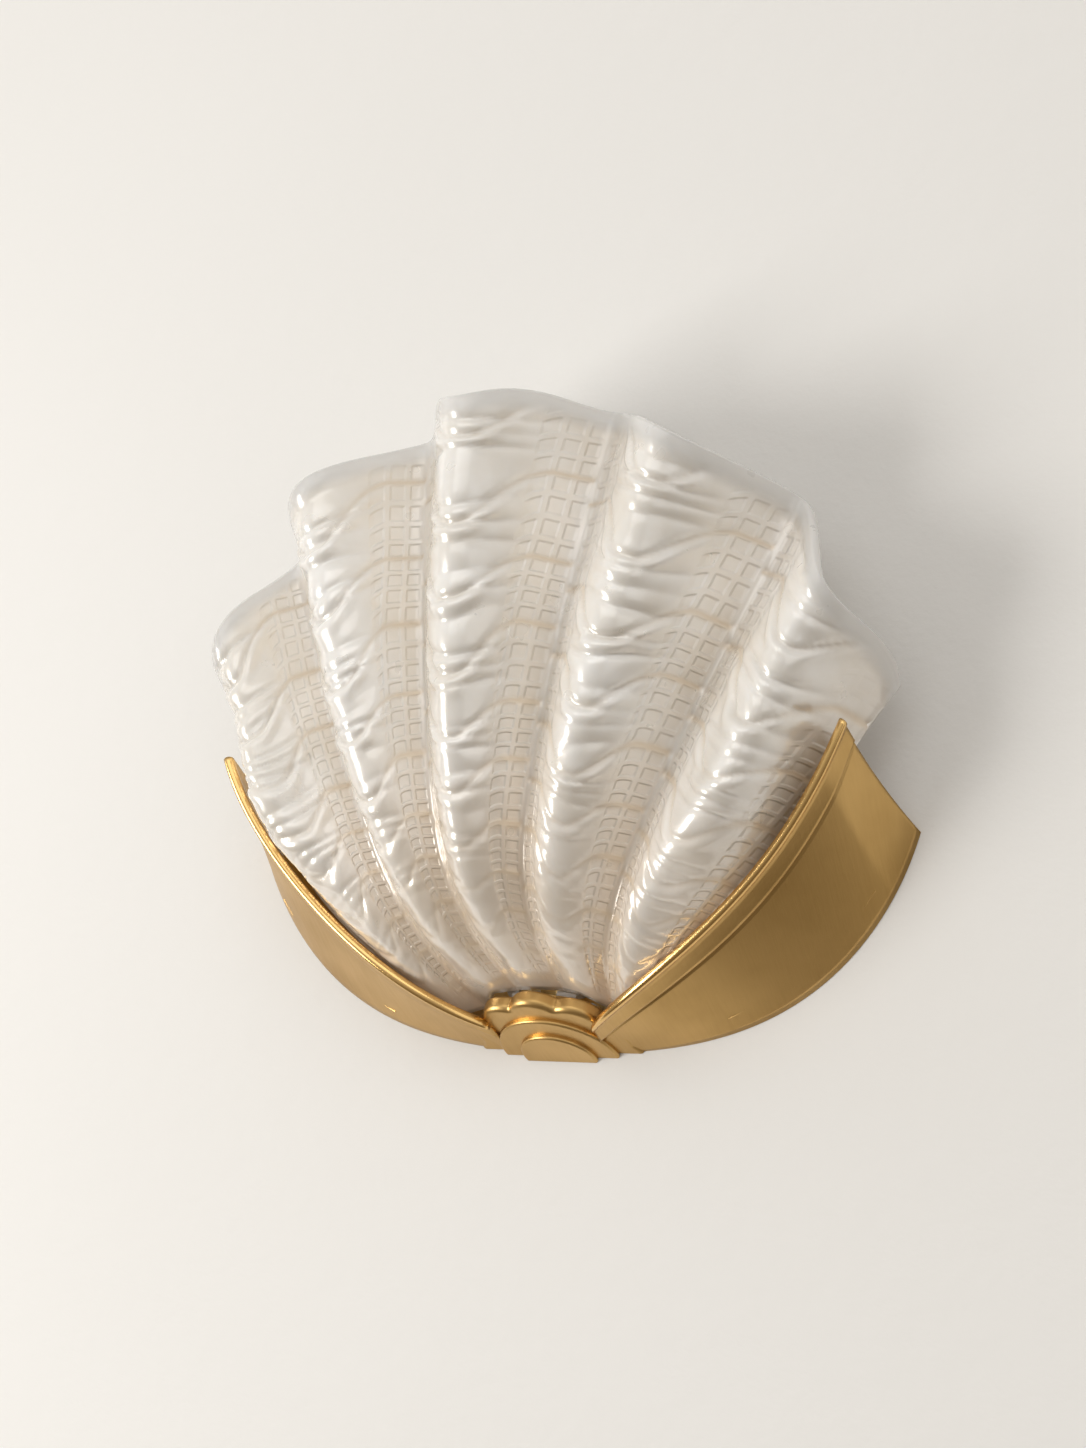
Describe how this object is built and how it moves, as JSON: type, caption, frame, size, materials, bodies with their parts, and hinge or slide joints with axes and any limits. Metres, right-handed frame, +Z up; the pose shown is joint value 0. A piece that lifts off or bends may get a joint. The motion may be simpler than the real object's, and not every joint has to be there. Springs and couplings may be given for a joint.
{
  "type": "wall light",
  "caption": "Shell-shaped wall light: a fluted pressed-glass fan that lifts out of a flared brass cradle with a scalloped medallion, over an upright lampholder.",
  "frame": {"origin": "middle of the two wall screws, on the wall plane", "axes": "+X to the right as seen from the room, +Y into the wall, +Z up"},
  "size_m": [0.3066, 0.0936, 0.2638],
  "materials": {
    "pearl_glass": "pearlescent translucent pressed glass, glossy outside",
    "satin_brass": "satin brushed",
    "plain_brass": "plain rolled",
    "zinc_steel": "bright zinc",
    "clear_silicone": "matt translucent",
    "lampholder_resin": "moulded",
    "terminal_nylon": "moulded",
    "nickel_brass": "nickel plated",
    "contact_metal": "bare",
    "opal_glass": "opal",
    "brown_insulation": "extruded sleeve",
    "blue_insulation": "extruded sleeve",
    "green_yellow_insulation": "extruded sleeve"
  },
  "bodies": {
    "frame": {"back_plate": "plain_brass", "bracket_screws": "zinc_steel", "cable_grommet": "clear_silicone", "cradle_bracket": "plain_brass", "cradle_pads": "clear_silicone", "earth_screw": "zinc_steel", "knurled_nuts": "plain_brass", "lamp_bracket": "zinc_steel", "lamp_bracket_screws": "zinc_steel", "lampholder_body": "lampholder_resin", "lampholder_contact": "contact_metal", "lampholder_sleeve": "nickel_brass", "lead_earth": "green_yellow_insulation", "lead_live": "brown_insulation", "lead_neutral": "blue_insulation", "left_wing": "satin_brass", "medallion_boss": "satin_brass", "medallion_plate": "satin_brass", "medallion_screws": "zinc_steel", "nipple_nut": "zinc_steel", "right_wing": "satin_brass", "strap_studs": "zinc_steel", "terminal_block": "terminal_nylon", "terminal_screws": "zinc_steel", "threaded_nipple": "zinc_steel", "wall_strap": "zinc_steel", "wing_screws": "zinc_steel"},
    "glass": {"glass_shell": "pearl_glass"},
    "bulb": {"bulb_envelope": "opal_glass", "bulb_cap": "nickel_brass", "bulb_contact": "contact_metal"}
  },
  "joints": [
    {"name": "glass_lift", "type": "slide", "parent": "frame", "child": "glass", "axis": [0, -0.7071, 0.7071], "range_m": [0, 0.2]},
    {"name": "bulb_withdraw", "type": "slide", "parent": "frame", "child": "bulb", "axis": [0, 0, 1], "range_m": [0, 0.09]}
  ]
}
